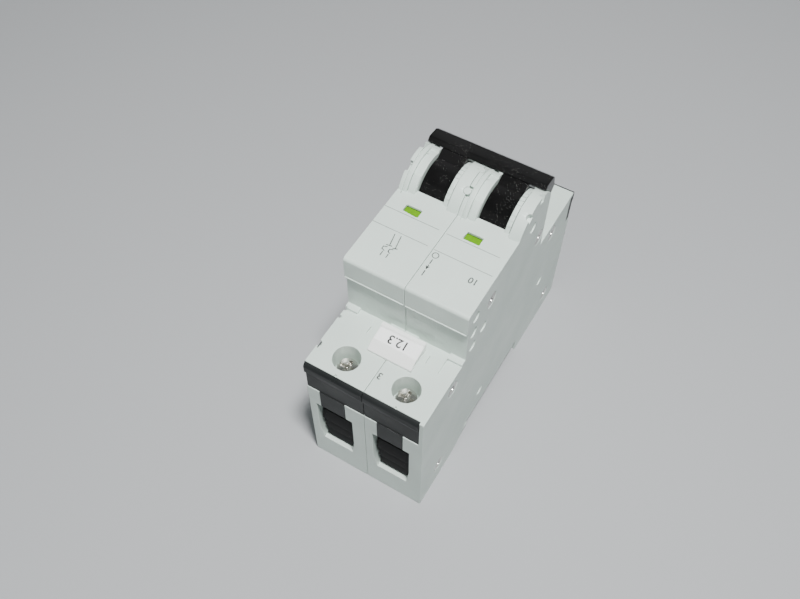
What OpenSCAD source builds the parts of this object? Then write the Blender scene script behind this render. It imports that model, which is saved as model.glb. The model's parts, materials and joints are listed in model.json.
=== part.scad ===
// Two-pole miniature circuit breaker for a 35 mm mounting rail.
// Origin: the rail's seat plane, at the middle of the device's length and width.
// +Z points away from the rail, X runs across the poles, -Y is the line end.
// An "outline" is a side view: its first number is Y and its second is Z.

/* [Body] */
// Width of one pole's housing
pole_w = 17.9; // [17.5:0.1:17.9]
// Distance between the middles of neighbouring poles
pole_pitch = 18; // [18:0.1:18.2]
// Half the length of the housing, from the middle to an end face
half_len = 45; // [44.9:0.1:45.2]
// Height of the terminal shoulders above the rail's seat
shoulder_z = 44; // [43.8:0.1:44.2]
// Height of the front panel above the rail's seat
panel_z = 65; // [64.8:0.1:65.2]
// Depth of the back below the rail's seat
back_depth = 6; // [5.8:0.1:6.2]
// Thickness of the side walls
side_wall = 1.3; // [1.1:0.1:1.4]
// Radius of the cheeks beside the toggle
cheek_r = 10.7; // [10.6:0.05:10.75]

/* [Toggle] */
// Radius of the toggle's drum
drum_r = 8.7; // [8.5:0.05:8.75]
// Width of the slot that the toggle turns in
slot_w = 8.1; // [8:0.1:8.4]
// Clearance between the drum and the edge of its slot
drum_gap = 0.25; // [0.2:0.05:0.3]
// Radius of the toggle's trunnions
trunnion_r = 2; // [1.8:0.1:2.2]

/* [Terminals] */
// Distance from the middle of the device to the terminal screws
screw_y = 38.15; // [38:0.05:38.3]
// Radius of the screwdriver holes in the shoulders
access_r = 3.8; // [3.7:0.05:3.9]
// Radius of the terminal screws' thread
thread_r = 2.3; // [2.1:0.1:2.4]
// Travel of a terminal cage from open to clamped
cage_travel = 4.8; // [4:0.1:4.8]

/* [Rail] */
// Width of the rail that the device sits on
rail_w = 35; // [35:0.1:35.2]
// Middle of the rail, from the middle of the device
rail_y = -1; // [-1.2:0.1:-0.8]

/* [Hidden] */
poles = 2;
$fn = 64;
eps = 0.05;
far_out = 30;

// Housing
half_w = pole_w / 2;
inner_x = half_w - side_wall;
overall_w = (poles - 1) * pole_pitch + pole_w;
back_z = -back_depth;
ridge_z = 57.7;
step_y = -24.2;
step_low_y = -23.3;
collar_y = 21.5;
corner_r = 1;
end_wall = 2.6;
top_wall = 1.8;
end_roof_z = 31.9;
inner_end_y = half_len - 3.6;
bar_z = 32;
bar_seat_y = half_len - 2.4;
lip_y = half_len - 0.8;
lip_z = 42.9;

// Toggle, measured at rest, which is the off position
pivot_y = 12.4;
pivot_z = 60.2;
slot_x = slot_w / 2;
toggle_x = slot_x - 0.2;
slot_r = drum_r + drum_gap;
slot_foot_z = 54.6;
tie_r = 11.05;
tie_x = [-17.7, 17.4];
crank_r = 4;
crank_angle = 218;

// Contact arm, in degrees about its pivot
arm_y = 4;
arm_z = 40;
arm_open = -8.8;
arm_swing = 18;
arm_eye_r = 10;
arm_eye_angle = 72;
wire_r = 0.5;

// Terminals at rest, which is open
strap_z = [22.8, 24];
strap_half_w = 4;
cage_x = 5.4;
cage_in_x = 4.25;
cage_y = [33.4, 41.2];
cage_gap = 0.2;
cage_floor = 1.8;
cage_top = 2.6;
ledge_z = 35;
ledge_top_z = 35.85;
guide_foot_z = 36.6;
head_z = [36, 39.5];
head_r = 2.9;
cage_floor_z = [strap_z[0] - cage_gap - cage_floor - cage_travel, strap_z[0] - cage_gap - cage_travel];
cage_top_z = [ledge_z - cage_gap - cage_top - cage_travel, ledge_z - cage_gap - cage_travel];

// Magnet
coil_y = [-27, -14];
coil_z = 30;
plunger_r = 1.8;
lever_x = [-5.5, -3.5];
trip_y = -6;
trip_z = 46;

// Rail latch
latch_roof = -0.95;
latch_step = -4.4;
latch_x = 5;
latch_rib_x = 4;

// Through rivets and blind moulding recesses in the sides, as [Y, Z]
RIVETS = [[-10.8, 56.6], [-29.4, 38.9], [-34.4, 2.2], [36.5, 1.6], [18.6, 50.4], [30.4, 39.6]];
DIMPLES = [
    [-19.7, 60.2], [-20.2, 53.9], [-14.1, 48.6], [-19.9, 47.2], [-10, 8.2], [11.7, 61.8], [28, 18.9]
];
rivet_r = 1.5;
rivet_head_r = 2.4;
recess_depth = 0.7;

// Joining pins between the cheeks, as angles about the toggle's pivot
PIN_ANGLES = [72, 116];
pin_r = 1;

POLE_PARTS = [
    "left_shell", "right_shell", "toggle", "link", "contact_arm", "fixed_contact", "line_strap",
    "load_strap", "magnet_coil", "coil_bobbin", "magnet_yoke", "plunger", "trip_lever", "bimetal",
    "braid", "arc_plates", "arc_runner", "indicator_flag", "line_end_bar", "load_end_bar",
    "line_cage", "load_cage", "line_cover", "load_cover", "line_screw", "load_screw", "rail_latch"
];
SHARED_PARTS = ["tie_bar", "rivets", "coupling_pins", "label_holder", "label_strip"];

LIGHT_GREY = [0.80, 0.83, 0.81];
ANTHRACITE = [0.16, 0.18, 0.18];
GLOSS_BLACK = [0.03, 0.03, 0.03];
NICKEL = [0.75, 0.75, 0.72];
COPPER = [0.78, 0.45, 0.28];
STEEL = [0.55, 0.56, 0.57];

function pole_x(pole) = (pole - (poles + 1) / 2) * pole_pitch;
function polar(r, angle) = [r * cos(angle), r * sin(angle)];
function pivot_point(r, angle) = [pivot_y, pivot_z] + polar(r, angle);
function arc(centre, r, from, to, steps) =
    [for (i = [0 : steps]) centre + polar(r, from + (to - from) * i / steps)];
crank = pivot_point(crank_r, crank_angle);
arm_eye = [arm_y, arm_z] + polar(arm_eye_r, arm_eye_angle);

// ---- helpers ----

module at_pole(pole) {
    translate([pole_x(pole), 0, 0]) children();
}

// Extrudes an outline across the pole from x0 to x1
module across(x0, x1) {
    translate([x0, 0, 0]) rotate([90, 0, 90]) linear_extrude(x1 - x0) children();
}

module rod_x(r, x0, x1, y, z) {
    translate([x0, y, z]) rotate([0, 90, 0]) cylinder(r = r, h = x1 - x0);
}

module rod_y(r, y0, y1, x, z) {
    translate([x, y1, z]) rotate([90, 0, 0]) cylinder(r = r, h = y1 - y0);
}

module rod_z(r, z0, z1, x, y) {
    translate([x, y, z0]) cylinder(r = r, h = z1 - z0);
}

module block(low, high) {
    translate(low) cube(high - low);
}

// Draws its children at the line end, or turned round to the load end
module at_end(end) {
    if (end == "line") children();
    if (end == "load") mirror([0, 1, 0]) children();
}

module about_pivot(angle) {
    translate([0, pivot_y, pivot_z]) rotate([angle, 0, 0]) children();
}

module about_arm(angle) {
    translate([0, arm_y, arm_z]) rotate([angle, 0, 0]) children();
}

// ---- housing ----

module body_outline() {
    hook_y = rail_y - rail_w / 2;
    latch_y = rail_y + rail_w / 2;
    polygon([
        [-half_len, back_z], [-half_len, shoulder_z], [step_low_y, shoulder_z], [step_low_y, ridge_z - 0.7],
        [step_y, ridge_z], [step_y, panel_z - corner_r], [step_y + corner_r, panel_z],
        [collar_y, panel_z], [collar_y, shoulder_z], [half_len, shoulder_z], [half_len, back_z],
        [latch_y + 0.2, back_z], [latch_y + 0.2, 0.3], [latch_y - 2.3, 0.3], [latch_y - 2.3, 0],
        [hook_y + 2.3, 0], [hook_y + 2.3, 0.3], [hook_y - 0.2, 0.3], [hook_y - 0.2, -1.25],
        [hook_y + 1.9, -1.25], [hook_y + 1.9, -2.6], [hook_y - 1, -3.2], [-27, back_z]
    ]);
}

module cavity_outline() {
    polygon([
        [-half_len + end_wall, back_z + top_wall], [-half_len + end_wall, end_roof_z],
        [-inner_end_y, end_roof_z], [-inner_end_y, shoulder_z - top_wall],
        [step_low_y + 1.6, shoulder_z - top_wall], [step_low_y + 1.6, panel_z - top_wall],
        [collar_y - 1.6, panel_z - top_wall], [collar_y - 1.6, shoulder_z - top_wall],
        [inner_end_y, shoulder_z - top_wall], [inner_end_y, end_roof_z],
        [half_len - end_wall, end_roof_z], [half_len - end_wall, 0.8], [19, 0.8], [19, 2], [-21, 2],
        [-22.5, back_z + top_wall]
    ]);
}

// The solid between two X planes, with cheeks of radius r above the panel
module blank(x0, x1, r) {
    across(x0, x1) body_outline();
    rod_x(corner_r, x0, x1, step_y + corner_r, panel_z - corner_r);
    intersection() {
        rod_x(r, x0, x1, pivot_y, pivot_z);
        block([x0, 0, pivot_z], [x1, collar_y, panel_z + far_out]);
    }
}

// Room for the drum, the lever and their slot
module toggle_room() {
    rod_x(slot_r, -slot_x, slot_x, pivot_y, pivot_z);
    block([-slot_x, pivot_y, slot_foot_z], [slot_x, collar_y + 1, panel_z + far_out]);
    block([-slot_x, pivot_y - slot_r + 1.5, panel_z - eps], [slot_x, pivot_y + 1, panel_z + far_out]);
}

module screw_boss() {
    rod_z(access_r + 1.6, ledge_z, shoulder_z - 1, 0, -screw_y);
}

module screw_hole() {
    rod_z(access_r, guide_foot_z, shoulder_z + 1, 0, -screw_y);
    rod_z(head_r + 0.15, ledge_top_z, guide_foot_z + eps, 0, -screw_y);
    rod_z(thread_r + 0.25, ledge_z - 1, ledge_top_z + 1, 0, -screw_y);
}

// The opening in an end wall: the tongue of the end bar fills its upper part
module end_window() {
    top_half = [-6.6, 4.9];
    foot_half = [-5.4, 4.2];
    translate([0, -half_len + end_wall + 0.5, 0]) rotate([90, 0, 0]) linear_extrude(end_wall + 1)
        polygon([
            [foot_half[0], 4.7], [foot_half[1], 4.7], [top_half[1], 11], [top_half[1], 24],
            [2.9, 24], [2.9, bar_z + 1], [-5.1, bar_z + 1], [-5.1, 24], [top_half[0], 24], [top_half[0], 11]
        ]);
}

// The rebate along an end that the end bar lies in, under a lip, from x0 to x1
module bar_rebate(x0, x1) {
    block([x0, -half_len - 1, bar_z], [x1, -bar_seat_y, lip_z]);
    block([x0, -half_len - 1, bar_z], [x1, -lip_y, shoulder_z + 1]);
}

module latch_groove() {
    groove_x = latch_x + 0.2;
    block([-groove_x, 12, latch_step], [groove_x, half_len + 1, latch_roof]);
    block([-latch_rib_x - 0.2, 12, back_z - 1], [latch_rib_x + 0.2, half_len + 1, latch_step + eps]);
}

// The indicator's window and the slot that the indicator slides in
module flag_window() {
    block([-4.1, -3.1, panel_z - 3], [0.5, -0.5, panel_z + 1]);
    block([-5.5, -7.2, panel_z - top_wall - 1], [1.9, 3.8, panel_z - 0.9]);
}

module rivet_bosses(x0, x1) {
    for (at = RIVETS) rod_x(rivet_r + 0.8, x0, x1, at[0], at[1]);
}

// Rivet holes, head recesses and blind recesses, for the wall at x0 to x1
module side_details(side) {
    wall_x = side * half_w;
    for (at = RIVETS) {
        rod_x(rivet_r + eps, -half_w - 1, half_w + 1, at[0], at[1]);
        rod_x(rivet_head_r + 0.1, wall_x - recess_depth, wall_x + recess_depth, at[0], at[1]);
    }
    for (at = DIMPLES) rod_x(1.7, wall_x - recess_depth / 2, wall_x + recess_depth / 2, at[0], at[1]);
    for (angle = PIN_ANGLES)
        about_pivot(angle) translate([wall_x, 8.4, 0]) rotate([-90, 0, 0]) cylinder(r = pin_r + eps, h = 4);
}

// Ridges at the foot of the step, on both sides of the label's seat
module foot_ridges(x0, x1) {
    block([x0, step_low_y - 1.9, shoulder_z - 1], [x1, step_low_y + 1, shoulder_z + 0.8]);
}

// Raised foot of the strip between the slot and the outer cheek
module cheek_pad() {
    pad_x = [-6.2, -slot_x - 0.1];
    intersection() {
        rod_x(cheek_r - 0.25, pad_x[0], pad_x[1], pivot_y, pivot_z);
        about_pivot(123) block([pad_x[0], 0, 0], [pad_x[1], cheek_r, cheek_r]);
        block([pad_x[0], 0, panel_z - 1], [pad_x[1], collar_y, panel_z + far_out]);
    }
}

module left_shell(pole) {
    color(LIGHT_GREY) difference() {
        union() {
            difference() {
                union() {
                    blank(-half_w, -6.4, cheek_r);
                    blank(-6.4, -slot_x, cheek_r - 0.8);
                    cheek_pad();
                    across(-slot_x, 0) body_outline();
                    rod_x(corner_r, -slot_x, 0, step_y + corner_r, panel_z - corner_r);
                }
                across(-inner_x, eps) cavity_outline();
            }
            rivet_bosses(-half_w, 0);
            rod_x(trunnion_r + 1.6, -half_w, -slot_x - 0.4, pivot_y, pivot_z);
            rod_x(2.5, -half_w, -5, arm_y, arm_z);
            rod_x(2.2, -half_w, lever_x[0] - 0.2, trip_y, trip_z);
            rod_x(1.2, -half_w, lever_x[1] + 0.4, trip_y, trip_z);
            intersection() {
                for (end = ["line", "load"]) at_end(end) screw_boss();
                block([-half_w, -half_len, 0], [0, half_len, shoulder_z]);
            }
            foot_ridges(-half_w, -4.9);
            // stop lug beside the slot
            about_pivot(64) block([-6.4, 9, -0.8], [-slot_x, cheek_r - 0.1, 0.8]);
        }
        toggle_room();
        for (end = ["line", "load"]) at_end(end) {
            screw_hole();
            end_window();
            bar_rebate(-half_w - 1, 1);
        }
        flag_window();
        side_details(-1);
        latch_groove();
        rod_x(trunnion_r + eps, -slot_x - 3, -slot_x, pivot_y, pivot_z);
        rod_x(1.26, -inner_x + 0.2, 0, arm_y, arm_z);
        // fine groove along the outer cheek, and the gaps beside the joining pins
        difference() {
            rod_x(cheek_r + 1, -7.75, -7.55, pivot_y, pivot_z);
            rod_x(cheek_r - 0.4, -8, -7, pivot_y, pivot_z);
            block([-8, -far_out, 0], [-7, far_out, panel_z - 0.4]);
        }
        for (angle = PIN_ANGLES)
            about_pivot(angle) block([-half_w - 1, 9.2, -1.5], [-half_w + 1.1, cheek_r + 1, 1.5]);
        // notches in the outer edge of the shoulder
        for (y = [-28.4, -25.6])
            block([-half_w - 1, y, shoulder_z - 1.2], [-half_w + 0.7, y + 0.8, shoulder_z + 1]);
        if (pole == 1) rod_z(0.9, shoulder_z - 1, shoulder_z + 1, -half_w, -37.8);
    }
}

// Where a rebate or a bar ends: at the line end the last pole's outer wall hides the bar's end
function bar_end_x(pole, end, past) = pole == poles && end == "line" ? inner_x : half_w + past;

module right_shell(pole) {
    color(LIGHT_GREY) difference() {
        union() {
            difference() {
                union() {
                    across(0, slot_x) body_outline();
                    rod_x(corner_r, 0, slot_x, step_y + corner_r, panel_z - corner_r);
                    blank(slot_x, 5.3, cheek_r - 0.9);
                    blank(5.3, 5.65, cheek_r - 2);
                    blank(5.65, half_w, cheek_r);
                }
                across(-eps, inner_x) cavity_outline();
            }
            rivet_bosses(0, half_w);
            rod_x(trunnion_r + 1.6, slot_x + 0.4, half_w, pivot_y, pivot_z);
            rod_x(2.5, 5, half_w, arm_y, arm_z);
            intersection() {
                for (end = ["line", "load"]) at_end(end) screw_boss();
                block([0, -half_len, 0], [half_w, half_len, shoulder_z]);
            }
            foot_ridges(4.7, half_w);
        }
        toggle_room();
        for (end = ["line", "load"]) at_end(end) {
            screw_hole();
            end_window();
            bar_rebate(-1, bar_end_x(pole, end, 1));
            // notch at the middle of the bar
            block([-1, -half_len - 1, shoulder_z - 0.8], [0.5, -lip_y + 0.6, shoulder_z + 1]);
        }
        flag_window();
        side_details(1);
        latch_groove();
        rod_x(trunnion_r + eps, slot_x, slot_x + 3, pivot_y, pivot_z);
        rod_x(1.26, 0, inner_x - 0.2, arm_y, arm_z);
        // ribs on the thin inner cheek
        for (angle = [50 : 9 : 140]) about_pivot(angle) block([slot_x - 1, 9.5, -0.15], [5.3, 12, 0.15]);
        // outline of the accessory socket beside the label
        block([4.5, -30, shoulder_z - 0.5], [4.8, step_low_y, shoulder_z + 0.1]);
        block([0.2, -29, shoulder_z - 0.5], [0.5, -26.6, shoulder_z + 0.1]);
    }
}

// ---- toggle group ----

// The lever's side view, in polar form about the pivot, with hollow flanks
module lever_outline() {
    rise = tie_r - drum_r;
    polygon(concat(
        [polar(drum_r - 1, 0)],
        [for (i = [0 : 6]) polar(drum_r + rise * (1 - cos(15 * i)), 2 + 2 * i)],
        [for (i = [0 : 4]) polar(tie_r, 20 + 10 * i)],
        [for (i = [0 : 6]) polar(drum_r + rise * (1 - sin(15 * i)), 62 + 2.3 * i)],
        [polar(drum_r - 1, 78)]
    ));
}

module toggle(pole) {
    crank_at = polar(crank_r, crank_angle);
    color(GLOSS_BLACK) translate([0, pivot_y, pivot_z]) difference() {
        union() {
            difference() {
                rod_x(drum_r, -toggle_x, toggle_x, 0, 0);
                rod_x(drum_r - 1.5, -far_out, far_out, 0, 0);
                // the open lower part of the drum
                across(-far_out, far_out)
                    polygon([[0, 0], for (angle = [149, 185, 230, 302]) polar(far_out, angle)]);
            }
            rod_x(3.2, -toggle_x, toggle_x, 0, 0);
            rod_x(trunnion_r, -slot_x - 2.8, slot_x + 2.8, 0, 0);
            across(-toggle_x, toggle_x) lever_outline();
            // web between hub and drum, and the crank
            across(-1.2, 1.2) polygon([[0, 0], for (angle = [20, 70, 120]) polar(drum_r - 1, angle)]);
            hull() {
                rod_x(1.3, -1.2, 1.2, crank_at[0], crank_at[1]);
                rod_x(2, -1.2, 1.2, 0, 0);
            }
            // tongue that the tie bar is pressed on to
            rotate([40, 0, 0]) block([-2.5, tie_r - 0.5, -1.2], [2.5, tie_r + 1.9, 1.2]);
        }
        rod_x(wire_r + eps, -far_out, far_out, crank_at[0], crank_at[1]);
    }
}

module tie_bar() {
    pocket = [2.55, 1.25];
    color(GLOSS_BLACK) difference() {
        across(tie_x[0], tie_x[1]) translate([pivot_y, pivot_z]) polygon(concat(
            arc([0, 0], tie_r, 20, 60, 8),
            [[6.6, 10.75], [10.2, 10.35], [11.5, 9.3], [12.4, 5.6]]
        ));
        for (pole = [1 : poles]) at_pole(pole) about_pivot(40)
            block([-pocket[0], tie_r - 1, -pocket[1]], [pocket[0], tie_r + 1.95, pocket[1]]);
    }
}

// ---- mechanism ----

// A bent wire: crank pin, leg and foot pin
module link(pole) {
    leg_x = 3;
    knuckle_r = wire_r + 0.1;
    run = arm_eye - crank;
    color(STEEL) {
        rod_x(wire_r, -1.3, leg_x, crank[0], crank[1]);
        rod_x(wire_r, -1.7, leg_x, arm_eye[0], arm_eye[1]);
        translate([leg_x, crank[0], crank[1]]) rotate([atan2(run[1], run[0]) - 90, 0, 0])
            cylinder(r = wire_r, h = norm(run));
        for (at = [crank, arm_eye]) translate([leg_x, at[0], at[1]]) sphere(r = knuckle_r, $fn = 24);
    }
}

module contact_arm(pole) {
    tip_z = -21;
    color(COPPER) difference() {
        union() {
            about_arm(arm_open) {
                block([-1.5, -1.2, tip_z - 2.2], [1.5, 1.2, 0]);
                translate([0, -1.2, tip_z]) rotate([90, 0, 0]) cylinder(r = 1.7, h = 1);
            }
            rod_x(3, -1.5, 1.5, arm_y, arm_z);
            rod_x(1.2, -inner_x + 0.3, inner_x - 0.3, arm_y, arm_z);
            hull() {
                rod_x(2.4, -1.5, 1.5, arm_y, arm_z);
                rod_x(2.4, -1.5, 1.5, arm_eye[0], arm_eye[1]);
            }
        }
        // slotted eye for the foot of the link
        for (shift = [-0.6, 0, 0.6])
            rod_x(wire_r + 0.5, -2, 2, arm_eye[0] + shift * cos(75), arm_eye[1] + shift * sin(75));
    }
}

module fixed_contact(pole) {
    color(COPPER) {
        about_arm(arm_open - arm_swing - 2) {
            block([-2, -4.6, -24], [2, -3.5, -17]);
            translate([0, -2.5, -21]) rotate([90, 0, 0]) cylinder(r = 1.7, h = 1);
        }
        block([-2, -12, 24.6], [2, -8.6, 26.6]);
    }
}

module line_strap(pole) {
    color(COPPER) across(-strap_half_w, strap_half_w)
        polygon([
            [-40.6, strap_z[0]], [-29.2, strap_z[0]], [-29.2, 27],
            [-30.4, 27], [-30.4, strap_z[1]], [-40.6, strap_z[1]]
        ]);
}

module load_strap(pole) {
    color(COPPER) across(-strap_half_w, strap_half_w)
        polygon([
            [40.6, strap_z[0]], [40.6, strap_z[1]], [25.6, strap_z[1]], [25.6, 11], [24.8, 11],
            [24.8, 8], [26.8, 8], [26.8, strap_z[0]]
        ]);
}

module magnet_coil(pole) {
    turn_r = 4.4;
    bar_r = 1.05;
    color(COPPER) {
        for (i = [0 : 5]) translate([0, coil_y[0] + 1.65 + 1.95 * i, coil_z]) rotate([90, 0, 0])
            rotate_extrude() translate([turn_r, 0]) circle(r = bar_r, $fn = 24);
        rod_y(bar_r, -29.2, coil_y[0] + 1.65, 0, coil_z - turn_r);
        rod_y(bar_r, coil_y[1] - 1.6, -12, 0, coil_z - turn_r);
    }
}

module coil_bobbin(pole) {
    tube_r = 3.2;
    color(ANTHRACITE) difference() {
        rod_y(tube_r, coil_y[0] - 0.1, coil_y[1] + 0.1, 0, coil_z);
        rod_y(plunger_r + 0.15, coil_y[0] - 1, coil_y[1] + 1, 0, coil_z);
    }
}

module magnet_yoke(pole) {
    roof = [35.6, 36.5];
    color(STEEL) difference() {
        union() {
            block([-5, -28.3, 27.2], [5, -27.3, roof[1]]);
            block([-5, -13.7, 27.2], [5, -12.7, roof[1]]);
            block([-5, -28.3, roof[0]], [5, -12.7, roof[1]]);
        }
        rod_y(plunger_r + 0.15, -29, -12, 0, coil_z);
    }
}

module plunger(pole) {
    color(STEEL) {
        rod_y(plunger_r, -28, -15, 0, coil_z);
        rod_y(0.9, -15 - eps, -11.5, 0, coil_z);
    }
}

// Bell crank: its pad faces the plunger and its finger hooks behind the bimetal
module trip_lever(pole) {
    color(GLOSS_BLACK) difference() {
        union() {
            rod_x(2.4, lever_x[0], lever_x[1], trip_y, trip_z);
            across(lever_x[0], lever_x[1]) polygon([
                [-8, 46], [-11.2, 32], [-11.2, 28.8], [-10.2, 28.8], [-9.8, 32], [-5.6, 44.4],
                [9, 44.4], [17.4, 37.2], [24.8, 35.4], [26.8, 35.4], [26.8, 37.6], [23.6, 37.8],
                [18.4, 39.2], [10, 46.8], [-6, 47.6]
            ]);
            block([lever_x[1] - 1, -11.2, 28.8], [1, -10.3, 31.2]);
            block([lever_x[1] - 1, 25.8, 35.4], [0, 26.8, 37.6]);
        }
        rod_x(1.26, -far_out, far_out, trip_y, trip_z);
    }
}

module bimetal(pole) {
    color(STEEL) block([-2.5, 23.8, 8], [2.5, 24.8, 38]);
}

// Flexible lead, swept along a route between the contact arm and the bimetal
BRAID_ROUTE = [[4.5, 32], [7.5, 29.6], [11, 28.4], [15, 28.6], [19, 30.4], [23.75, 34]];
braid_r = 1;
braid_sides = 8;

function smooth_route(points, steps) = concat([for (i = [0 : len(points) - 2]) for (s = [0 : steps - 1])
    let (
        t = s / steps,
        before = points[max(i - 1, 0)],
        here = points[i],
        next = points[i + 1],
        after = points[min(i + 2, len(points) - 1)]
    )
    0.5 * (2 * here + (next - before) * t + (2 * before - 5 * here + 4 * next - after) * t * t
        + (3 * here - before - 3 * next + after) * t * t * t)], [points[len(points) - 1]]);

module braid(pole) {
    path = smooth_route(BRAID_ROUTE, 4);
    count = len(path);
    rings = [for (i = [0 : count - 1]) for (k = [0 : braid_sides - 1])
        let (
            along = path[min(i + 1, count - 1)] - path[max(i - 1, 0)],
            square = i == 0 || i == count - 1 ? [0, 1] : [-along[1], along[0]] / norm(along),
            turn = 360 * k / braid_sides
        )
        [braid_r * cos(turn), each path[i] + braid_r * sin(turn) * square]];
    sides = [for (i = [0 : count - 2]) for (k = [0 : braid_sides - 1])
        let (a = i * braid_sides + k, b = i * braid_sides + (k + 1) % braid_sides)
        [a, b, b + braid_sides, a + braid_sides]];
    caps = [
        [for (k = [braid_sides - 1 : -1 : 0]) k],
        [for (k = [0 : braid_sides - 1]) (count - 1) * braid_sides + k]
    ];
    color(COPPER) polyhedron(points = rings, faces = concat(caps, sides), convexity = 4);
}

module arc_plates(pole) {
    color(STEEL) for (i = [0 : 7]) translate([0, -10 + 2 * i, 0]) difference() {
        block([-6.8, 0, 3.2], [6.8, 0.8, 15]);
        translate([0, 1, 15.1]) rotate([90, 0, 0]) linear_extrude(2)
            polygon([[-3, 0], [3, 0], [0.4, -6], [-0.4, -6]]);
    }
}

module arc_runner(pole) {
    color(STEEL) across(-2, 2)
        polygon([[-11.6, 3.2], [-11.6, 14], [-12.4, 19.4], [-13.4, 19], [-12.6, 14], [-12.6, 3.2]]);
}

module indicator_flag(pole) {
    color("limegreen") {
        block([-5.2, -6.8, panel_z - 2], [1.6, 0.2, panel_z - 1.1]);
        block([-2.8, -6.6, 57.5], [-0.8, -5.4, panel_z - 2 + eps]);
    }
}

// ---- terminals, drawn at the line end ----

module end_bar(pole, end) {
    nose_r = 1.6;
    nose = [-half_len - 0.4 + nose_r, shoulder_z - nose_r];
    face_y = -lip_y - eps;
    nose_start = acos((face_y - nose[0]) / nose_r);
    color(ANTHRACITE) {
        across(-half_w, bar_end_x(pole, end, 0) - (pole == poles ? eps : 0)) polygon(concat(
            [[-bar_seat_y, bar_z], [-bar_seat_y, lip_z - eps], [face_y, lip_z - eps]],
            arc(nose, nose_r, nose_start, 180, 8),
            [[nose[0] - nose_r, 40.2], [-half_len + 0.2, 39.4], [-half_len + 0.2, bar_z]]
        ));
        block([-5, -half_len, 24], [2.8, -half_len + 1.4, bar_z + eps]);
    }
}

module cage(pole) {
    color(STEEL) difference() {
        block([-cage_x, -cage_y[1], cage_floor_z[0]], [cage_x, -cage_y[0], cage_top_z[1]]);
        block([-cage_in_x, -cage_y[1] - 1, cage_floor_z[1]], [cage_in_x, -cage_y[0] + 1, cage_top_z[0]]);
        rod_z(thread_r + eps, cage_top_z[0] - 1, cage_top_z[1] + 1, 0, -screw_y);
    }
}

// Shutter with slanted ribs that narrow in steps towards its foot
module cover(pole) {
    plate_y = -half_len + end_wall + 0.2;
    top_z = cage_floor_z[1];
    foot_z = 4.9;
    ribs = 3;
    pitch = (top_z - foot_z) / ribs;
    color(ANTHRACITE) {
        block([-7, plate_y, foot_z], [5.3, -cage_y[1], top_z]);
        for (i = [0 : ribs - 1]) {
            high = top_z - i * pitch;
            across(-6.2 + 0.55 * i, 4.5 - 0.35 * i) polygon([
                [plate_y + eps, high], [plate_y - 0.5, high], [plate_y - 1.6, high - pitch + 1],
                [plate_y - 1.4, high - pitch + 0.4], [plate_y + eps, high - pitch + 0.3]
            ]);
        }
    }
}

module screw(pole) {
    cross_w = 1.1;
    cross_l = head_r * 1.5;
    tip_z = strap_z[1] + 0.6;
    color(NICKEL) difference() {
        union() {
            rod_z(head_r, head_z[0], head_z[1], 0, -screw_y);
            rod_z(thread_r, tip_z, head_z[0] + eps, 0, -screw_y);
        }
        for (turn = [0, 90]) translate([0, -screw_y, 0]) rotate(turn)
            block([-cross_l / 2, -cross_w / 2, head_z[1] - 1.5], [cross_l / 2, cross_w / 2, head_z[1] + 1]);
        // plain slot across the head
        translate([0, -screw_y, 0])
            block([-head_r - 1, -0.4, head_z[1] - 0.9], [head_r + 1, 0.4, head_z[1] + 1]);
    }
}

module rail_latch(pole) {
    tip_y = rail_y + rail_w / 2 - 1.9;
    color(ANTHRACITE) difference() {
        union() {
            block([-latch_x, tip_y, latch_step + 0.2], [latch_x, half_len - 0.6, -1.25]);
            block(
                [-latch_rib_x, tip_y + 4, back_z + 0.4],
                [latch_rib_x, half_len - 0.6, latch_step + 0.25]
            );
        }
        // slanted nose that rides over the rail's edge
        translate([0, tip_y, latch_step]) rotate([-40, 0, 0]) block([-far_out, -4, -4], [far_out, 6, 0]);
        // screwdriver slot
        block([-2, 40, -far_out], [2, 42.4, 0]);
    }
}

// ---- shared parts ----

module rivets() {
    outer_x = overall_w / 2;
    color(STEEL) for (at = RIVETS) difference() {
        union() {
            rod_x(rivet_r, -outer_x + 0.1, outer_x - 0.1, at[0], at[1]);
            for (head_x = [-outer_x + 0.4, outer_x - 0.4])
                rod_x(rivet_head_r, head_x - 0.3, head_x + 0.3, at[0], at[1]);
        }
        for (side = [-1, 1]) rod_x(0.9, side * outer_x - 1.5, side * outer_x + 1.5, at[0], at[1]);
    }
}

module coupling_pins() {
    color(LIGHT_GREY) for (gap = [1 : poles - 1]) for (angle = PIN_ANGLES)
        translate([pole_x(gap) + pole_pitch / 2, 0, 0]) about_pivot(angle) translate([0, 8.45, 0])
            rotate([-90, 0, 0]) cylinder(r = pin_r, h = cheek_r - 8.45);
}

label_x = [-5.7, 7.5];
label_y = [-33.4, -25.3];

module label_holder() {
    base = shoulder_z;
    color("white") difference() {
        across(label_x[0], label_x[1]) polygon([
            [label_y[0], base], [label_y[0], base + 0.8], [-30.8, base + 2.5], [-30.6, base + 2.2],
            [-26.6, base + 2.9], [-26.5, base + 3.4], [label_y[1], base + 3.4], [label_y[1], base]
        ]);
        block([label_x[0] - 1, -31.4, base - 1], [label_x[1] + 1, -26.8, base + 1]);
    }
}

// Blank paper strip on the holder's slanted face
module label_strip() {
    color("white") across(label_x[0] + 0.4, label_x[1] - 0.4) translate([0, shoulder_z])
        polygon([[-30.5, 2.22], [-26.7, 2.89], [-26.7, 3.04], [-30.5, 2.37]]);
}

// ---- assembly ----

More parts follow.
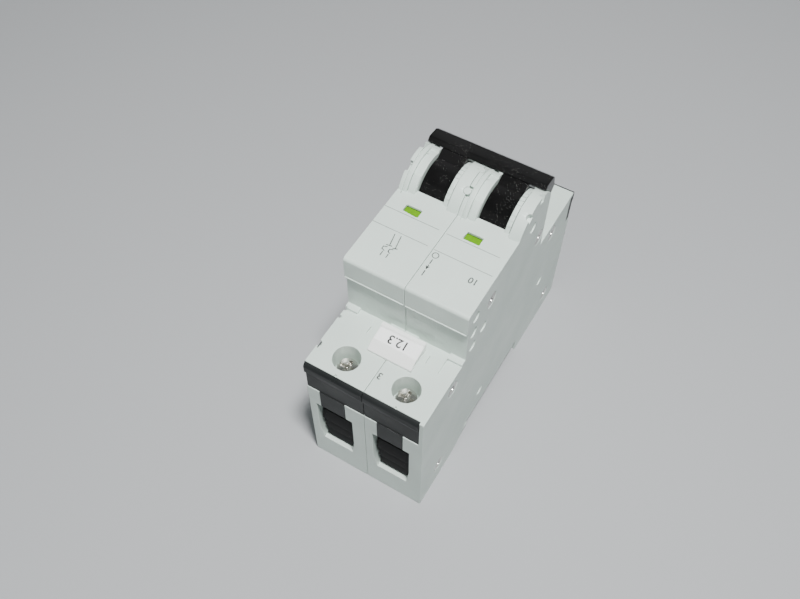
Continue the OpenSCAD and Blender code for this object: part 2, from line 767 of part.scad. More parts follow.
for (pole = [1 : poles]) {
    at_pole(pole) left_shell(pole);
    at_pole(pole) right_shell(pole);
    at_pole(pole) toggle(pole);
    at_pole(pole) link(pole);
    at_pole(pole) contact_arm(pole);
    at_pole(pole) fixed_contact(pole);
    at_pole(pole) line_strap(pole);
    at_pole(pole) load_strap(pole);
    at_pole(pole) magnet_coil(pole);
    at_pole(pole) coil_bobbin(pole);
    at_pole(pole) magnet_yoke(pole);
    at_pole(pole) plunger(pole);
    at_pole(pole) trip_lever(pole);
    at_pole(pole) bimetal(pole);
    at_pole(pole) braid(pole);
    at_pole(pole) arc_plates(pole);
    at_pole(pole) arc_runner(pole);
    at_pole(pole) indicator_flag(pole);
    at_pole(pole) rail_latch(pole);
    for (end = ["line", "load"]) {
        at_pole(pole) at_end(end) end_bar(pole, end);
        at_pole(pole) at_end(end) cage(pole);
        at_pole(pole) at_end(end) cover(pole);
        at_pole(pole) at_end(end) screw(pole);
    }
}
tie_bar();
rivets();
coupling_pins();
label_holder();
label_strip();
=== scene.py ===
# %% [markdown]
# # A two-pole miniature circuit breaker
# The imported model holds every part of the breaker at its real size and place: housings, toggles,
# terminals and the works inside. This lesson gives those parts their looks. Moulded parts get the
# soft edges that a mould leaves, the panel gets its printed lines, and every finish is built from
# shader nodes. Blender works in metres here, so a millimetre is a named value.

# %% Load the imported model
import math

import bpy
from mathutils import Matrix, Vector
from mathutils.bvhtree import BVHTree
from mathutils.kdtree import KDTree
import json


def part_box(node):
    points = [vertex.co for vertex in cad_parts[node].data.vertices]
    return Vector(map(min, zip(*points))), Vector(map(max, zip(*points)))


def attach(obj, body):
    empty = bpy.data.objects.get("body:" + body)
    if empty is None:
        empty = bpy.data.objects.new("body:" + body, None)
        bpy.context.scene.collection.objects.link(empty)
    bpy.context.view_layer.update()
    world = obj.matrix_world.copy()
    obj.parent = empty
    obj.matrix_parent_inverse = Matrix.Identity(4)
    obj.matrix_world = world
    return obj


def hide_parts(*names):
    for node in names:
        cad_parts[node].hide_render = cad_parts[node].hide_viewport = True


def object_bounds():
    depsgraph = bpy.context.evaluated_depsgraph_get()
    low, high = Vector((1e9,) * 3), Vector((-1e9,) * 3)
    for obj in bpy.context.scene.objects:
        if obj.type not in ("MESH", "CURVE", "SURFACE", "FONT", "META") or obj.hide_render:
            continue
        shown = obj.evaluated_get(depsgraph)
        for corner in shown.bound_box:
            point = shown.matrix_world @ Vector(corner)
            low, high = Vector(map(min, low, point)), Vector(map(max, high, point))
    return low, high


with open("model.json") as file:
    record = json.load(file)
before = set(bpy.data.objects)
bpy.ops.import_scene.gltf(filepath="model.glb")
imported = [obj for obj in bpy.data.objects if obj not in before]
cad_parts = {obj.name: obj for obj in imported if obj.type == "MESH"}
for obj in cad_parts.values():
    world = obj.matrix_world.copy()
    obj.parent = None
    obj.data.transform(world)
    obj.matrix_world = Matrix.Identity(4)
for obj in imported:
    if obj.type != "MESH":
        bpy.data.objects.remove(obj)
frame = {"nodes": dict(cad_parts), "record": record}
cad_low, cad_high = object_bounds()
nodes = frame["nodes"]
mm = 0.001
poles = ("1", "2")
body_of_node = {
    node: body
    for body, members in frame["record"]["behaviour"]["bodies"].items()
    for node in members
}
slot_of_node = {part["node"]: part["material_slot"] for part in frame["record"]["subparts"]}
print("parts:", len(nodes), "size in mm:", [round(s / mm, 1) for s in cad_high - cad_low])

# %% [markdown]
# ## Selection first
# Most operators act on whatever is selected, and a freshly loaded model is selected all over. So
# each step starts from an empty selection and picks one object. A finished piece has its place in
# its mesh and its object at the origin, which is what applying the transform does.

# %% Pick one object, and apply its modifiers
def pick(thing):
    """Selects one object and nothing else."""
    bpy.ops.object.select_all(action="DESELECT")
    thing.select_set(True)
    bpy.context.view_layer.objects.active = thing
    return thing


def apply_place(thing):
    """Moves an object's place, turn and scale into its mesh."""
    pick(thing)
    bpy.ops.object.transform_apply(location=True, rotation=True, scale=True)


def apply_modifiers(thing):
    """Turns every modifier on an object into real geometry."""
    pick(thing)
    for modifier in list(thing.modifiers):
        bpy.ops.object.modifier_apply(modifier=modifier.name)


def centre(node):
    """The middle of a part's box."""
    low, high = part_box(node)
    return (low + high) / 2


print("middle of the left toggle in mm:", [round(c / mm, 1) for c in centre("toggle_1")])

# %% [markdown]
# ## The camera
# A small device on a table is looked at from above and from one corner, so that the panel, the
# terminal shoulder and two sides all show. The lens is a little longer than normal, which keeps
# the housing's long edges from running together too fast.

# %% Place the camera
camera_place = Vector((63.35, -133.26, 242.96)) * mm
camera_turn = (0.604, -0.001, 0.536)
bpy.ops.object.camera_add(location=camera_place, rotation=camera_turn)
camera = bpy.context.object
camera.name = "camera"
camera.data.lens = 40.13
camera.data.clip_start = 0.01
bpy.context.scene.camera = camera
print("camera is", round((camera_place - centre("toggle_2")).length / mm), "mm from the toggles")

# %% [markdown]
# ## Floor and light
# The floor is one large pale sheet under the housing. One small key light hangs high to the right
# and drops a short shadow to the left. A wide, weak light fills the near side and another the
# back, and both stay dim, so that black parts stay black and the upright faces are darker than
# the panels.

# %% Lay the floor
floor_z = cad_low.z - 0.05 * mm
bpy.ops.mesh.primitive_plane_add(size=3.0, location=(0, 0, floor_z))
floor = bpy.context.object
floor.name = "floor"
apply_place(floor)
floor_finish = bpy.data.materials.new("pale_floor")
floor_finish.use_nodes = True
floor_shader = floor_finish.node_tree.nodes["Principled BSDF"]
floor_shader.inputs["Base Color"].default_value = (0.40, 0.41, 0.42, 1)
floor_shader.inputs["Roughness"].default_value = 0.9
floor_shader.inputs["Specular IOR Level"].default_value = 0.1
floor.data.materials.append(floor_finish)
print("floor at", round(floor_z / mm, 2), "mm")


# %% Hang the lights
def soft_light(name, place, size, power):
    """A square light that looks at the middle of the breaker."""
    bpy.ops.object.light_add(type="AREA", location=place)
    light = bpy.context.object
    light.name = name
    light.data.size = size
    light.data.energy = power
    aim = (cad_low + cad_high) / 2 - Vector(place)
    light.rotation_euler = aim.to_track_quat("-Z", "Y").to_euler()


soft_light("key_light", (0.11, -0.11, 0.545), 0.07, 5.6)
soft_light("fill_light", (-0.25, -0.55, 0.35), 0.50, 0.4)
soft_light("back_light", (-0.10, 0.55, 0.45), 0.50, 0.3)
world = bpy.data.worlds.new("pale_room")
world.use_nodes = True
world.node_tree.nodes["Background"].inputs["Color"].default_value = (0.86, 0.92, 0.95, 1)
world.node_tree.nodes["Background"].inputs["Strength"].default_value = 0.17
bpy.context.scene.world = world

# %% [markdown]
# ## Building shader nodes by hand
# A finish here is a small tree of nodes. Two helpers keep the trees short to write: one adds a
# node with its settings and its wired or fixed inputs, the other starts a node group with named
# sockets. An effect that several finishes share, such as dust, is such a group.

# %% Helpers for node trees
def add(tree, kind, settings=None, **inputs):
    """Adds a node. An input is a number, a colour or another node's output socket."""
    node = tree.nodes.new(kind)
    for name, value in (settings or {}).items():
        setattr(node, name, value)
    for name, value in inputs.items():
        key = int(name[1:]) if name[0] == "i" and name[1:].isdigit() else name.replace("_", " ")
        if isinstance(value, bpy.types.NodeSocket):
            tree.links.new(value, node.inputs[key])
        else:
            node.inputs[key].default_value = value
    return node


def calc(tree, operation, first, second=0.0):
    """One Math node, and its result."""
    return add(tree, "ShaderNodeMath", {"operation": operation}, i0=first, i1=second).outputs[0]


def spread(tree, value, low, high, new_low=0.0, new_high=1.0):
    """Stretches a value from one range to another, and holds it there."""
    made = add(tree, "ShaderNodeMapRange", None, Value=value, From_Min=low, From_Max=high,
               To_Min=new_low, To_Max=new_high)
    return made.outputs["Result"]


def blend(tree, share, first, second):
    """Mixes two colours by a mask."""
    made = add(tree, "ShaderNodeMix", {"data_type": "RGBA"}, i0=share, i6=first, i7=second)
    return made.outputs[2]


def start_group(name, inputs, outputs):
    """A node group with number inputs and named outputs."""
    tree = bpy.data.node_groups.new(name, "ShaderNodeTree")
    for label, value in inputs.items():
        socket = tree.interface.new_socket(label, in_out="INPUT", socket_type="NodeSocketFloat")
        socket.default_value = value
    for label in outputs:
        tree.interface.new_socket(label, in_out="OUTPUT", socket_type="NodeSocketFloat")
    return tree, tree.nodes.new("NodeGroupInput").outputs, tree.nodes.new("NodeGroupOutput")


def object_place(tree):
    """The surface point in metres, in the part's own frame."""
    return tree.nodes.new("ShaderNodeTexCoord").outputs["Object"]


print("node helpers are ready")

# %% [markdown]
# ## Effects that several finishes share
# Moulded plastic has a fine grain and slow, cloudy changes in its sheen. Handled parts are dull
# or bright along their edges, and dust settles on faces that look up. Each effect is one group
# with its own sizes, given in marks per metre because the parts are modelled in metres.

# %% Fine grain and cloudiness of a moulded face
grain, given, made = start_group("moulded_grain", {"Scale": 4000, "Cloud Scale": 60},
                                 ["Height", "Cloud"])
place = object_place(grain)
pits = add(grain, "ShaderNodeTexNoise", None, Vector=place, Scale=given["Scale"], Detail=3.0)
cloud = add(grain, "ShaderNodeTexNoise", None, Vector=place, Scale=given["Cloud Scale"],
            Detail=4.0, Roughness=0.6)
grain.links.new(spread(grain, pits.outputs["Fac"], 0.3, 0.7), made.inputs["Height"])
grain.links.new(spread(grain, cloud.outputs["Fac"], 0.35, 0.65), made.inputs["Cloud"])
print("moulded_grain:", [s.name for s in made.inputs if s.name])

# %% Worn edges, found by rounding the normal
wear, given, made = start_group("edge_wear", {"Radius": 0.00035, "Breakup": 700}, ["Mask"])
rounded = add(wear, "ShaderNodeBevel", {"samples": 4}, Radius=given["Radius"])
facing = wear.nodes.new("ShaderNodeNewGeometry").outputs["Normal"]
across = add(wear, "ShaderNodeVectorMath", {"operation": "DOT_PRODUCT"},
             i0=rounded.outputs["Normal"], i1=facing)
edge = spread(wear, across.outputs["Value"], 0.995, 0.86)
patchy = add(wear, "ShaderNodeTexNoise", None, Vector=object_place(wear),
             Scale=given["Breakup"], Detail=5.0)
worn = calc(wear, "MULTIPLY", edge, spread(wear, patchy.outputs["Fac"], 0.38, 0.62))
wear.links.new(worn, made.inputs["Mask"])
print("edge_wear:", [s.name for s in made.inputs if s.name])

# %% Specks of dust on faces that look up
dust, given, made = start_group("dust", {"Scale": 1400, "Size": 0.16, "Amount": 0.5}, ["Mask"])
place = object_place(dust)
cells = add(dust, "ShaderNodeTexVoronoi", None, Vector=place, Scale=given["Scale"])
speck_size = calc(dust, "MULTIPLY", cells.outputs["Color"], given["Size"])
speck = calc(dust, "LESS_THAN", cells.outputs["Distance"], speck_size)
drift = add(dust, "ShaderNodeTexNoise", None, Vector=place, Scale=260.0, Detail=3.0)
drifted = calc(dust, "GREATER_THAN", calc(dust, "ADD", drift.outputs["Fac"], given["Amount"]), 1.0)
normal = dust.nodes.new("ShaderNodeNewGeometry").outputs["Normal"]
up = add(dust, "ShaderNodeSeparateXYZ", None, Vector=normal).outputs["Z"]
settled = calc(dust, "MULTIPLY", spread(dust, up, 0.0, 0.6), calc(dust, "MULTIPLY", speck, drifted))
dust.links.new(settled, made.inputs["Mask"])
print("dust:", [s.name for s in made.inputs if s.name])

# %% Fine lines left by rolling or turning a metal
lines, given, made = start_group("drawn_lines", {"Scale": 900, "Stretch": 12}, ["Height", "Shade"])
squeeze = add(lines, "ShaderNodeCombineXYZ", None, X=given["Stretch"], Y=1.0, Z=given["Stretch"])
stretched = add(lines, "ShaderNodeVectorMath", {"operation": "MULTIPLY"},
                i0=object_place(lines), i1=squeeze.outputs[0])
marks = add(lines, "ShaderNodeTexNoise", None, Vector=stretched.outputs[0],
            Scale=given["Scale"], Detail=2.0)
lines.links.new(marks.outputs["Fac"], made.inputs["Height"])
lines.links.new(spread(lines, marks.outputs["Fac"], 0.35, 0.65), made.inputs["Shade"])
print("drawn_lines:", [s.name for s in made.inputs if s.name])

# %% [markdown]
# ## The plastics
# All the plastics share one recipe: a base colour that drifts a little, brighter or paler edges,
# a little dust, a fine grain in the bump, and a sheen that changes with the cloudiness. What
# differs is the strength of each, so the recipe is a function and each plastic a few values.

# %% The recipe for a moulded plastic
def grey(value):
    """A neutral colour."""
    return (value, value, value, 1)


def use(tree, group, **values):
    """Places a shared effect in a finish."""
    node = tree.nodes.new("ShaderNodeGroup")
    node.node_tree = group
    for name, value in values.items():
        node.inputs[name.replace("_", " ")].default_value = value
    return node.outputs


def start_finish(name):
    """A new material, its tree and its shader."""
    finish = bpy.data.materials.new(name)
    finish.use_nodes = True
    return finish, finish.node_tree, finish.node_tree.nodes["Principled BSDF"]


def plastic(name, colour, shade, edge_colour, sheen=(0.35, 0.5), grain_depth=0.02,
            wear_share=0.5, dust_amount=0.35, dust_scale=1400, coat=0.0, gloss=0.5):
    """Moulded plastic: drifting colour, softer edges, dust and a fine grain."""
    finish, tree, shader = start_finish(name)
    texture = use(tree, grain)
    drifted = blend(tree, texture["Cloud"], colour, shade)
    edge_share = calc(tree, "MULTIPLY", use(tree, wear)["Mask"], wear_share)
    edged = blend(tree, edge_share, drifted, edge_colour)
    dust_mask = use(tree, dust, Amount=dust_amount, Scale=dust_scale)["Mask"]
    dusty = blend(tree, dust_mask, edged, (0.72, 0.72, 0.68, 1))
    tree.links.new(dusty, shader.inputs["Base Color"])
    rough = spread(tree, texture["Cloud"], 0.0, 1.0, *sheen)
    dull = calc(tree, "MAXIMUM", rough, calc(tree, "MULTIPLY", dust_mask, 0.9))
    tree.links.new(dull, shader.inputs["Roughness"])
    bump = add(tree, "ShaderNodeBump", None, Height=texture["Height"], Strength=grain_depth,
               Distance=0.0001)
    tree.links.new(bump.outputs["Normal"], shader.inputs["Normal"])
    shader.inputs["IOR"].default_value = 1.5
    shader.inputs["Specular IOR Level"].default_value = gloss
    shader.inputs["Coat Weight"].default_value = coat
    shader.inputs["Coat Roughness"].default_value = 0.12
    return finish


finishes = {
    "housing": plastic("light_grey_thermoplastic", (0.60, 0.69, 0.635, 1), (0.565, 0.65, 0.60, 1),
                       (0.70, 0.78, 0.73, 1), sheen=(0.34, 0.46), grain_depth=0.05,
                       wear_share=0.6, dust_amount=0.3, dust_scale=3600),
    "handle_black": plastic("glossy_black_thermoset", grey(0.003), grey(0.006), grey(0.03),
                            sheen=(0.12, 0.24), grain_depth=0.02, wear_share=0.3,
                            dust_amount=0.5, dust_scale=4200, coat=0.08, gloss=0.14),
    "anthracite": plastic("anthracite_moulding", (0.013, 0.015, 0.015, 1),
                          (0.019, 0.021, 0.021, 1), grey(0.07), sheen=(0.36, 0.5),
                          grain_depth=0.08, wear_share=0.5, dust_amount=0.4, dust_scale=3600,
                          gloss=0.14),
    "shutter_black": plastic("shutter_moulding", (0.007, 0.008, 0.008, 1), grey(0.012),
                             grey(0.04), sheen=(0.30, 0.45), grain_depth=0.08, wear_share=0.5,
                             dust_amount=0.42, dust_scale=3600, gloss=0.14),
    "bobbin_plastic": plastic("dark_inner_moulding", grey(0.03), grey(0.045), grey(0.08)),
    "label_white": plastic("white_clip_moulding", (0.88, 0.90, 0.87, 1), (0.85, 0.87, 0.84, 1),
                           grey(0.93), sheen=(0.2, 0.32), grain_depth=0.03, wear_share=0.3,
                           dust_amount=0.25, dust_scale=3600, coat=0.2),
}
print("plastics:", sorted(finishes))

# %% [markdown]
# ## The metals
# Nickel on the screws, zinc on the cages, plain steel in the magnet and bare copper in the
# current path differ in colour and polish. All of them carry the fine lines of the tool that
# formed them, a film that darkens them in patches, and edges that are rubbed a little brighter.

# %% The recipe for a metal
def metal(name, colour, shade, polish=(0.22, 0.42)):
    """Formed metal: fine lines, uneven polish and a duller film in patches."""
    finish, tree, shader = start_finish(name)
    marks = use(tree, lines)
    film = use(tree, grain, Scale=2500, Cloud_Scale=300)["Cloud"]
    toned = blend(tree, film, colour, shade)
    edge_share = calc(tree, "MULTIPLY", use(tree, wear)["Mask"], 0.5)
    edge_colour = tuple(min(1.0, c * 1.25) for c in colour)
    shiny = blend(tree, edge_share, toned, edge_colour)
    tree.links.new(shiny, shader.inputs["Base Color"])
    shader.inputs["Metallic"].default_value = 1.0
    rough = spread(tree, calc(tree, "MULTIPLY", film, marks["Shade"]), 0.0, 1.0, *polish)
    tree.links.new(rough, shader.inputs["Roughness"])
    bump = add(tree, "ShaderNodeBump", None, Height=marks["Height"], Strength=0.15,
               Distance=0.00005)
    tree.links.new(bump.outputs["Normal"], shader.inputs["Normal"])
    return finish


finishes.update({
    "nickel": metal("worn_nickel", (0.78, 0.77, 0.72, 1), (0.42, 0.41, 0.37, 1), (0.16, 0.32)),
    "cage_steel": metal("zinc_plate", (0.60, 0.61, 0.60, 1), (0.42, 0.43, 0.42, 1)),
    "plain_steel": metal("plain_steel", (0.42, 0.43, 0.44, 1), (0.28, 0.28, 0.28, 1), (0.3, 0.5)),
    "bright_steel": metal("spring_wire", (0.62, 0.62, 0.62, 1), (0.50, 0.50, 0.50, 1)),
    "rivet_steel": metal("rivet_plate", (0.62, 0.62, 0.60, 1), (0.46, 0.46, 0.44, 1)),
    "copper": metal("bare_copper", (0.80, 0.43, 0.27, 1), (0.52, 0.24, 0.13, 1), (0.2, 0.42)),
    "bimetal": metal("rolled_bimetal", (0.50, 0.48, 0.44, 1), (0.38, 0.36, 0.33, 1)),
})
print("metals:", len(finishes))

# %% [markdown]
# ## The contact indicator
# One flat slide sits under each window. Its front half is lime green and its back half is red, so
# the window shows green while the contacts are open and red once the slide has moved. Both
# colours are one print on one moulding, so one finish changes colour along the length.

# %% Two colours along the slide
def indicator(name, node, window_share):
    """A slide that is red at its front and green at its back."""
    finish, tree, shader = start_finish(name)
    low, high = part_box(node)
    change_y = low.y + window_share * (high.y - low.y)
    along = add(tree, "ShaderNodeSeparateXYZ", None, Vector=object_place(tree)).outputs["Y"]
    is_green = calc(tree, "GREATER_THAN", along, change_y)
    print_tone = use(tree, grain, Scale=3000, Cloud_Scale=500)["Cloud"]
    green = blend(tree, print_tone, (0.115, 0.30, 0.001, 1), (0.095, 0.25, 0.001, 1))
    tree.links.new(blend(tree, is_green, (0.60, 0.03, 0.02, 1), green), shader.inputs["Base Color"])
    tree.links.new(spread(tree, print_tone, 0, 1, 0.5, 0.65), shader.inputs["Roughness"])
    shader.inputs["Specular IOR Level"].default_value = 0.1
    return finish


finishes["flag_green"] = indicator("indicator_print", "indicator_flag_1", 0.5)

# %% [markdown]
# ## Paper, braid and ink
# The strip in the label clip is plain paper, a little fibrous. The braid is plaited copper, so
# two sets of slanted strands cross over each other, with painted shade in the valleys between the
# strands. The ink on the panel is a thin grey film.

# %% Paper
paper, tree, shader = start_finish("label_paper")
fibre = use(tree, grain, Scale=6000, Cloud_Scale=900)
tree.links.new(blend(tree, fibre["Cloud"], (0.94, 0.95, 0.94, 1), (0.90, 0.91, 0.90, 1)),
               shader.inputs["Base Color"])
tree.links.new(spread(tree, fibre["Height"], 0, 1, 0.5, 0.7), shader.inputs["Roughness"])
paper_bump = add(tree, "ShaderNodeBump", None, Height=fibre["Height"], Strength=0.1,
                 Distance=0.00005)
tree.links.new(paper_bump.outputs["Normal"], shader.inputs["Normal"])
finishes["label_paper"] = paper
print("paper is ready")

# %% Plaited copper, with painted shade between the strands
braid_finish, tree, shader = start_finish("plaited_copper")
place = object_place(tree)
strand_rate = 14000.0
heights = []
for lean in (0.7, -0.7):
    turned = add(tree, "ShaderNodeVectorMath", {"operation": "DOT_PRODUCT"}, i0=place,
                 i1=(lean, 0.7, 0.2))
    wave = calc(tree, "SINE", calc(tree, "MULTIPLY", turned.outputs["Value"], strand_rate))
    heights.append(wave)
plait = calc(tree, "MAXIMUM", heights[0], heights[1])
# The plait's height sets the colour: painted shade darkens the copper in the valleys between the
# strands, and the strand tops keep the bright copper.
shade = spread(tree, plait, -0.6, 1.0)
tree.links.new(blend(tree, shade, (0.30, 0.13, 0.07, 1), (0.84, 0.47, 0.30, 1)),
               shader.inputs["Base Color"])
shader.inputs["Metallic"].default_value = 1.0
tree.links.new(spread(tree, shade, 0, 1, 0.5, 0.28), shader.inputs["Roughness"])
plait_bump = add(tree, "ShaderNodeBump", None, Height=plait, Strength=0.6, Distance=0.0001)
tree.links.new(plait_bump.outputs["Normal"], shader.inputs["Normal"])
finishes["copper_braid"] = braid_finish
print("braid is ready")


# %% Ink, from faint to dark
def ink(name, tone):
    """A thin print whose cover is a little uneven."""
    finish, tree, shader = start_finish(name)
    cover = use(tree, grain, Scale=5000, Cloud_Scale=700)["Height"]
    light = tuple(c * 1.35 for c in tone[:3]) + (1,)
    tree.links.new(blend(tree, cover, tone, light), shader.inputs["Base Color"])
    tree.links.new(spread(tree, cover, 0, 1, 0.35, 0.5), shader.inputs["Roughness"])
    return finish


line_ink = ink("line_ink", (0.15, 0.165, 0.16, 1))
grey_ink = ink("grey_ink", (0.06, 0.068, 0.064, 1))
black_ink = ink("black_ink", (0.01, 0.01, 0.01, 1))
print("inks:", line_ink.name, grey_ink.name, black_ink.name)

# %% [markdown]
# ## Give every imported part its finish
# Each part names its material slot in the record, so one loop finishes them all, those hidden
# inside included. A part whose shape is right keeps its own mesh and only gets the finish.

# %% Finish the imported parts
for name, part in nodes.items():
    part.data.materials.clear()
    part.data.materials.append(finishes[slot_of_node[name]])
print("finished", len(nodes), "parts")

# %% [markdown]
# ## Soft edges
# No moulded or stamped edge is perfectly sharp, and it is the thin highlight along an edge that
# tells the eye what a thing is made of. Each part that shows is copied, its loose triangles are
# merged into whole faces, and its sharp edges get a bevel weight. Where two edges nearly touch, a
# bevel folds over itself. So the bevel is tried, the faces that left the old surface are found,
# and the edges beside them stay sharp in the next try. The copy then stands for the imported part.

# %% Find the edges to round
sharp_angle = math.radians(40)


def sharp_edges(mesh, parting_x):
    """A weight of 1 for each sharp edge, but 0 along the plane where two half shells meet."""
    normals = {}
    for face in mesh.polygons:
        for key in face.edge_keys:
            normals.setdefault(key, []).append(face.normal)
    weights = []
    for edge in mesh.edges:
        around = normals[edge.key]
        ends = [mesh.vertices[i].co for i in edge.vertices]
        bent = len(around) == 2 and around[0].angle(around[1], 0.0) > sharp_angle
        parted = parting_x is not None and all(abs(e.x - parting_x) < 0.01 * mm for e in ends)
        weights.append(1.0 if bent and not parted else 0.0)
    return weights


print("edges over", round(math.degrees(sharp_angle)), "degrees get rounded")

# %% Find where a bevel folded over
smallest_fold = 0.0003 * mm * mm


def folds(mesh, surface, radius):
    """Points on the triangles that left the old surface or face the wrong way."""
    mesh.calc_loop_triangles()
    points = []
    for triangle in mesh.loop_triangles:
        corners = [mesh.vertices[i].co.copy() for i in triangle.vertices]
        middle = (corners[0] + corners[1] + corners[2]) / 3
        _, normal, _, distance = surface.find_nearest(middle)
        wrong = distance > 0.5 * radius or normal.dot(triangle.normal) < -0.1
        if wrong and triangle.area > smallest_fold:
            points += corners + [middle]
    return points


def keep_sharp(mesh, weights, points, reach):
    """Takes the weight from every edge that passes within reach of a point."""
    near = KDTree(len(points))
    for index, point in enumerate(points):
        near.insert(point, index)
    near.balance()
    for edge in mesh.edges:
        if not weights[edge.index]:
            continue
        start, end = (mesh.vertices[i].co for i in edge.vertices)
        steps = max(1, int((end - start).length / reach))
        if any(near.find(start.lerp(end, k / steps))[2] < reach for k in range(steps + 1)):
            weights[edge.index] = 0.0


print("fold tests are ready")


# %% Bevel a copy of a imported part
def soften(node, radius, parting_x=None):
    """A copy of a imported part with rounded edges, which stands for it."""
    source = nodes[node]
    soft = bpy.data.objects.new(node + "_soft", source.data.copy())
    bpy.context.scene.collection.objects.link(soft)
    pick(soft)
    bpy.ops.object.mode_set(mode="EDIT")
    bpy.ops.mesh.select_all(action="SELECT")
    bpy.ops.mesh.customdata_custom_splitnormals_clear()
    bpy.ops.mesh.remove_doubles(threshold=0.002 * mm)
    bpy.ops.mesh.dissolve_limited(angle_limit=math.radians(0.4))
    bpy.ops.object.mode_set(mode="OBJECT")
    surface = BVHTree.FromPolygons([v.co for v in source.data.vertices],
                                   [p.vertices for p in source.data.polygons])
    weights = sharp_edges(soft.data, parting_x)
    share = soft.data.attributes.new("bevel_weight_edge", "FLOAT", "EDGE")
    share.data.foreach_set("value", weights)
    bevel = soft.modifiers.new("rounded_edges", "BEVEL")
    bevel.width = radius
    bevel.segments = 2
    bevel.limit_method = "WEIGHT"
    bevel.use_clamp_overlap = False
    bevel.miter_outer = "MITER_ARC"
    for attempt in range(8):
        tried = soft.evaluated_get(bpy.context.evaluated_depsgraph_get()).to_mesh()
        points = folds(tried, surface, radius)
        if not points:
            break
        keep_sharp(soft.data, weights, points, radius * (1.3 + 0.5 * attempt))
        share = soft.data.attributes["bevel_weight_edge"]
        share.data.foreach_set("value", weights)
        soft.data.update()
    apply_modifiers(soft)
    bpy.ops.object.shade_smooth_by_angle(angle=math.radians(50))
    even = soft.modifiers.new("even_shading", "WEIGHTED_NORMAL")
    even.keep_sharp = True
    apply_modifiers(soft)
    print(node, "rounded edges:", int(sum(weights)), "folds left:", len(points) // 4)
    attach(soft, body_of_node[node])
    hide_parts(node)
    return soft


# %% Soften each kind of part by its own radius
edge_radius = {
    "toggle": 0.15 * mm, "line_end_bar": 0.2 * mm, "load_end_bar": 0.2 * mm,
    "line_cover": 0.12 * mm, "load_cover": 0.12 * mm, "line_screw": 0.12 * mm,
    "load_screw": 0.12 * mm, "line_cage": 0.15 * mm, "load_cage": 0.15 * mm,
    "rail_latch": 0.25 * mm,
}
soft_parts = {}
for pole in poles:
    for kind, radius in edge_radius.items():
        node = kind + "_" + pole
        soft_parts[node] = soften(node, radius)
    left, right = "left_shell_" + pole, "right_shell_" + pole
    parting_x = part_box(left)[1].x
    soft_parts[left] = soften(left, 0.18 * mm, parting_x=parting_x)
    soft_parts[right] = soften(right, 0.18 * mm, parting_x=parting_x)
for node, radius in (("tie_bar", 0.25 * mm), ("label_holder", 0.15 * mm),
                     ("coupling_pins", 0.12 * mm), ("rivets", 0.1 * mm)):
    soft_parts[node] = soften(node, radius)
corners = sum(len(part.data.vertices) for part in soft_parts.values())
print("softened", len(soft_parts), "parts,", corners, "corners")

# %% [markdown]
# ## Fine moulded beads
# Halfway down the step the upper block ends in a fine bead, which catches the light as one bright
# line, and the label's holder has a bead along both long sides of its paper. Each one is a thin
# rod, half sunk in the face behind it and rounded at its ends.

# %% Add the beads
def add_bead(name, start_x, end_x, y, z, radius, host):
    """A half-sunk rod along X in the finish of its host, on its host's body."""
    bpy.ops.mesh.primitive_cylinder_add(vertices=24, radius=radius, depth=end_x - start_x,
                                        location=((start_x + end_x) / 2, y, z),
                                        rotation=(0, math.pi / 2, 0))
    bead = bpy.context.object
    bead.name = name
    apply_place(bead)
    rounding = bead.modifiers.new("rounded_ends", "BEVEL")
    rounding.width = 0.4 * radius
    rounding.segments = 2
    apply_modifiers(bead)
    bpy.ops.object.shade_smooth_by_angle(angle=math.radians(50))
    bead.data.materials.append(finishes[slot_of_node[host]])
    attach(bead, body_of_node[host])
    print(name, "is", round((end_x - start_x) / mm, 1), "mm long")


holder_low, holder_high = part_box("label_holder")
step_y = holder_high.y + 1.1 * mm
ridge_z = holder_low.z + 13.5 * mm
end_gap = 0.2 * mm
for pole in poles:
    start_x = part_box("left_shell_" + pole)[0].x + end_gap
    end_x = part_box("right_shell_" + pole)[1].x - end_gap
    add_bead("step_bead_" + pole, start_x, end_x, step_y, ridge_z, 0.2 * mm,
             "left_shell_" + pole)
strip_low, strip_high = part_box("label_strip")
for side, y, z in (("near", strip_low.y - 0.15 * mm, strip_low.z + 0.1 * mm),
                   ("far", strip_high.y + 0.1 * mm, strip_high.z - 0.05 * mm)):
    add_bead("label_bead_" + side, holder_low.x + end_gap, holder_high.x - end_gap, y, z,
             0.18 * mm, "label_holder")

# %% [markdown]
# ## Print on the panels
# Each panel carries two thin grey lines below the indicator's window. The left panel has the
# symbol of a two-pole breaker and the right one the symbol of a manual drive and a rated current.
# A print is a slab thinner than a hair, sunk in the face that it's printed on. Marks are placed
# from the middle of their pole and from the near edge of the window.

# %% Helpers for printed marks
ink_height = 0.015 * mm
flag_low, flag_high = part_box("indicator_flag_1")
panel_over_flag, window_from_flag = 1.1 * mm, 3.7 * mm
panel_z = flag_high.z + panel_over_flag
window_y = flag_low.y + window_from_flag
shoulder_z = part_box("label_holder")[0].z
pole_middle = {pole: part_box("left_shell_" + pole)[1].x for pole in poles}


def stroke(start, end, width):
    """A printed slab between two points on a panel."""
    run = end - start
    bpy.ops.mesh.primitive_cube_add(size=1, location=(start + end) / 2,
                                    rotation=(0, 0, math.atan2(run.y, run.x)))
    slab = bpy.context.object
    slab.scale = (run.length + width, width, 2 * ink_height)
    apply_place(slab)
    return slab


def finish_print(name, marks, finish, host):
    """Joins marks into one piece that rides on the body of the part they're printed on."""
    pick(marks[0])
    for mark in marks[1:]:
        mark.select_set(True)
    if len(marks) > 1:
        bpy.ops.object.join()
    piece = bpy.context.object
    piece.name = name
    piece.data.materials.clear()
    piece.data.materials.append(finish)
    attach(piece, body_of_node[host])
    return piece


def print_paths(name, pole, paths, finish, width=0.24 * mm):
    """Draws paths, in millimetres from the pole's middle and the window's edge."""
    corner = Vector((pole_middle[pole], window_y, panel_z))
    marks = []
    for path in paths:
        points = [corner + Vector((x, y, 0)) * mm for x, y in path]
        marks += [stroke(a, b, width) for a, b in zip(points, points[1:])]
    return finish_print(name, marks, finish, "left_shell_" + pole)


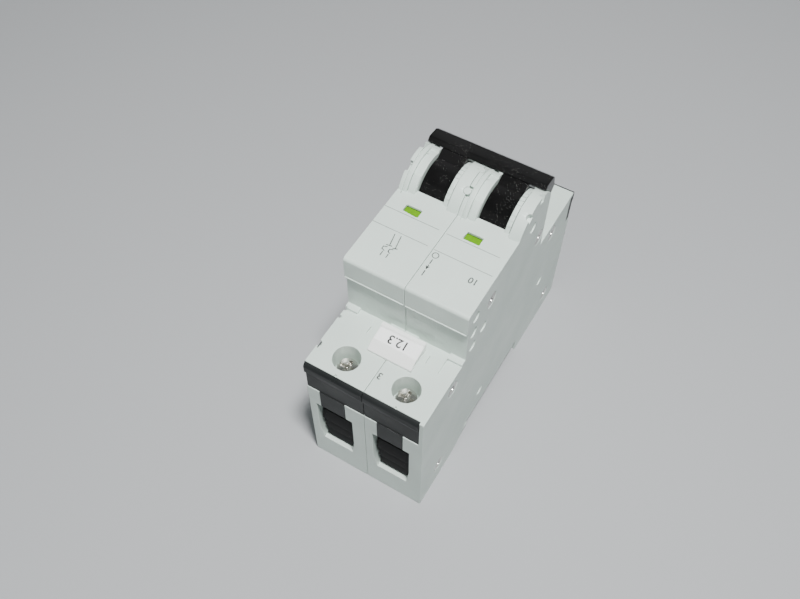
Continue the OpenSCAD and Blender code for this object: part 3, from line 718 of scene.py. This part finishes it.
print("panel at", round(panel_z / mm, 2), "mm, shoulder at", round(shoulder_z / mm, 2), "mm")

# %% Lines and symbols on the panels
panel_lines = {"1": [[(-8.8, -0.75), (7.3, -0.75)], [(-8.8, -6.75), (7.3, -6.75)]],
               "2": [[(-8.3, -0.85), (6.8, -0.85)], [(-8.5, -6.9), (7.8, -6.9)]]}
for pole in poles:
    print_paths("panel_lines_" + pole, pole, panel_lines[pole], line_ink, 0.16 * mm)
breaker_symbol = [
    [(-1.65, -7.8), (-1.0, -11.4)], [(0.1, -7.6), (0.85, -11.9)],
    [(-1.8, -11.7), (-0.4, -11.5)], [(0.1, -11.9), (1.3, -11.6)],
    [(-1.3, -12.2), (-2.2, -12.5), (-2.2, -13.3), (-1.4, -13.6)], [(-1.5, -14.1), (-1.5, -15.3)],
    [(0.5, -12.3), (-0.3, -12.6), (-0.3, -13.4), (0.3, -13.7)], [(0.2, -14.2), (0.2, -15.3)],
]
print_paths("breaker_symbol", "1", breaker_symbol, grey_ink)
drive_arrow = [
    [(-7.4, -10.0), (-7.4, -11.3)], [(-7.4, -11.9), (-7.4, -13.2)],
    [(-7.75, -12.4), (-7.4, -13.0), (-7.05, -12.4)], [(-7.35, -13.9), (-7.35, -15.4)],
]
print_paths("drive_symbol", "2", drive_arrow, grey_ink, 0.28 * mm)
ring_place = Vector((pole_middle["2"], window_y, panel_z)) + Vector((-7.4, -8.4, 0)) * mm
ring_line = 0.12 * mm
bpy.ops.mesh.primitive_torus_add(location=ring_place, major_radius=0.85 * mm,
                                 minor_radius=ring_line, major_segments=32, minor_segments=8)
ring = bpy.context.object
ring.scale.z = ink_height / ring_line
apply_place(ring)
finish_print("drive_ring", [ring], grey_ink, "left_shell_2")
print("panel prints are on")


# %% Numbers, read from the load end
def print_number(name, body, place, size, finish, host, tilt=0.0):
    """A printed number, turned round so that it reads from the load end."""
    bpy.ops.object.text_add()
    number = bpy.context.object
    number.data.body = body
    number.data.align_x = "CENTER"
    number.data.align_y = "CENTER"
    number.data.size = size
    boldness = size / 70
    number.data.offset = boldness
    number.data.extrude = ink_height
    pick(number)
    bpy.ops.object.convert(target="MESH")
    number = bpy.context.object
    number.location = place
    number.rotation_euler = (tilt, 0, math.pi)
    apply_place(number)
    return finish_print(name, [number], finish, host)


rating_place = Vector((pole_middle["2"] + 4.5 * mm, window_y - 10.6 * mm, panel_z))
print_number("rated_current", "10", rating_place, 2.6 * mm, grey_ink, "left_shell_2")
screw_y = centre("line_screw_1").y
for pole, number, side in (("1", "1", -8.4), ("2", "3", -7.9)):
    number_place = Vector((pole_middle[pole] + side * mm, screw_y, shoulder_z))
    print_number("terminal_number_" + pole, number, number_place, 2.8 * mm, grey_ink,
                 "left_shell_" + pole)
strip_tilt = math.radians(10)
strip_length = strip_high.y - strip_low.y
strip_place = centre("label_strip")
strip_place.z = strip_high.z - math.tan(strip_tilt) * strip_length / 2
print_number("circuit_number", "12.3", strip_place, 3.5 * mm, black_ink, "label_strip",
             -strip_tilt)
print("numbers are on")

# %% [markdown]
# ## Finish

# %% Finish
import json
